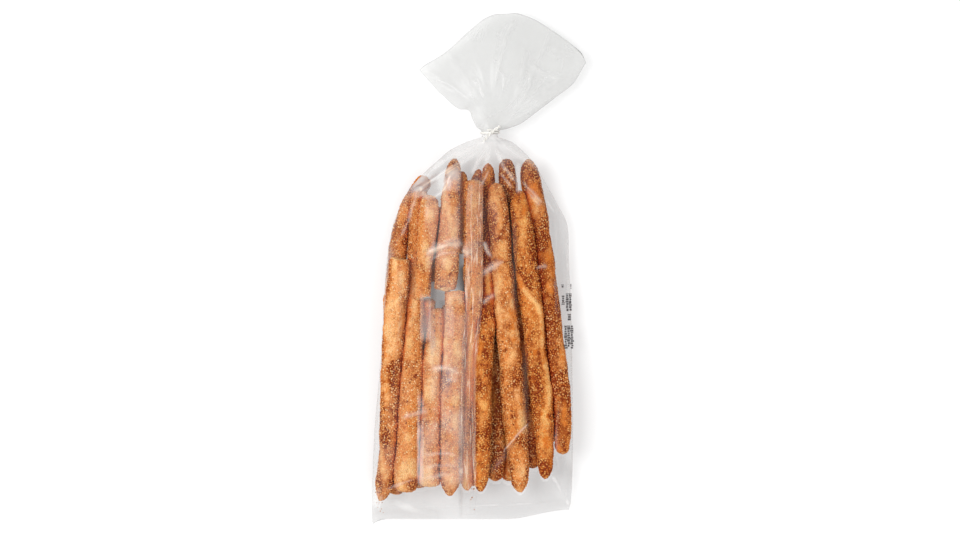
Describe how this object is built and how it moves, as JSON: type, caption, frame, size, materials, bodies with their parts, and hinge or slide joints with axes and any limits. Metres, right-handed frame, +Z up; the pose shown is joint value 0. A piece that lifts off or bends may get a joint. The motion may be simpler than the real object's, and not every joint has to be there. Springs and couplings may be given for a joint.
{
  "type": "bag of sesame breadsticks",
  "caption": "Clear film bag of long sesame breadsticks, gathered and tied at the neck, with an open fan of film above the tie; lies on its back.",
  "frame": {"origin": "on the surface under the bag, at the middle of its box, with the bag lying on its back", "axes": "+Z up through the side with the back seam, which faces up; +Y from the sealed bottom to the tied neck and the open mouth; +X to the right seen from above"},
  "size_m": [0.1525, 0.3586, 0.034],
  "materials": {
    "film": "clear crinkled bag film, glossy, slightly milky on its folds",
    "tie": "pale plastic-covered wire",
    "crust": "baked bread crust, golden to brown, matte with a faint oily sheen",
    "seed": "sesame seeds, pale to golden, lightly glossy",
    "seed_toasted": "toasted sesame seeds, brown",
    "crumb": "broken bread and loose crumbs, matte",
    "print": "plain dark marks printed on the film"
  },
  "bodies": {
    "root": {"bag": "film", "tie": "tie"}
  },
  "joints": []
}
